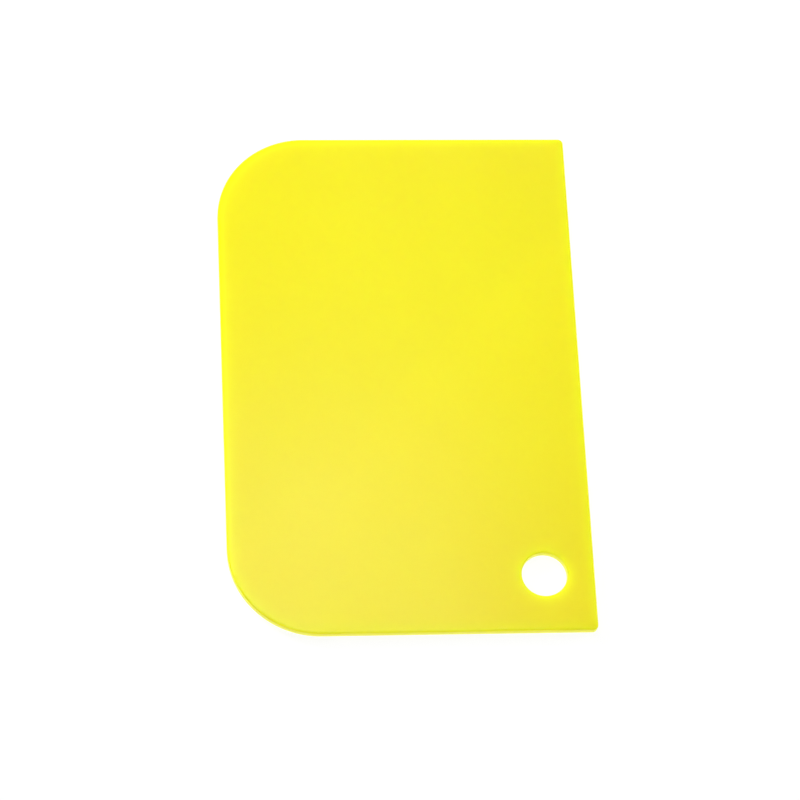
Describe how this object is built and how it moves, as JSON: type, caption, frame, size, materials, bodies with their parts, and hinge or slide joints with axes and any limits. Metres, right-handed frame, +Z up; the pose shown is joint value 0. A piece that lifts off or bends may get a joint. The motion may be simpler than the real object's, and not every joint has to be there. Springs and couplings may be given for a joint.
{
  "type": "squeegee applicator card",
  "caption": "Flat flexible squeegee card for pressing down vinyl film, with a long working edge between large round corners and a hanging hole at the back.",
  "frame": {"origin": "middle of the flat bottom face, which the card rests on", "axes": "+Y along the long sides, +X from the working edge to the back edge, +Z up through the thickness; the hanging hole is at +X, -Y"},
  "size_m": [0.08, 0.12, 0.002],
  "materials": {
    "yellow_polyurethane": "smooth satin, slightly translucent bright yellow, clearer and brighter along its rims"
  },
  "bodies": {
    "root": {"squeegee_blade": "yellow_polyurethane"}
  },
  "joints": []
}
